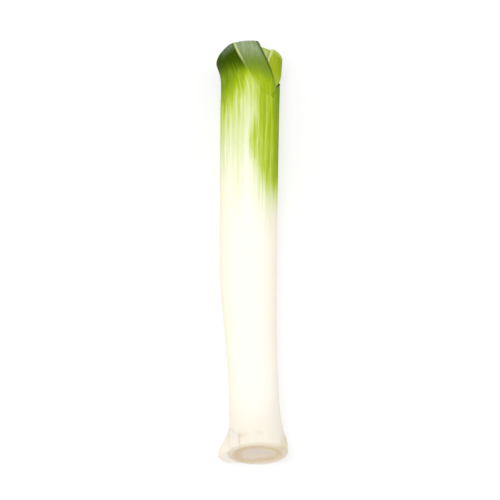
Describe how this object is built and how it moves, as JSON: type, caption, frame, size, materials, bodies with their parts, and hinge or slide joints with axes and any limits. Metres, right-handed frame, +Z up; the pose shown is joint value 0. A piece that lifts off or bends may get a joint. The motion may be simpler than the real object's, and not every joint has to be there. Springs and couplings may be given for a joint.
{
  "type": "leek",
  "caption": "Trimmed leek lying on its side, with nested sheaths on a cut root plate, a white shaft and green leaf ends cut across.",
  "frame": {"origin": "centre of the bounding box in X and Y, on the surface that the leek lies on", "axes": "+Z up, +Y along the leek from the cut root plate towards the leaf ends"},
  "size_m": [0.0476, 0.287, 0.0393],
  "materials": {
    "root_plate": "matt, fibrous cut flesh with a brown ring of root stubs",
    "outer_leaf": "smooth and slightly glossy, cream to dark green, fine pale veins along it",
    "second_leaf": "satin, cream to grey-green with a pale waxy bloom",
    "inner_leaves": "satin, cream to yellow-green, fine pale veins along it",
    "heart": "satin, pale yellow",
    "leaf_base": "satin, pinkish cream, dry and tan at its edge"
  },
  "bodies": {
    "root": {"root_plate": "root_plate", "leaf_1": "outer_leaf", "leaf_2": "second_leaf", "leaf_3": "inner_leaves", "leaf_4": "inner_leaves", "leaf_5": "inner_leaves", "leaf_6": "inner_leaves", "heart_leaf": "heart", "leaf_base_remnant": "leaf_base"}
  },
  "joints": []
}
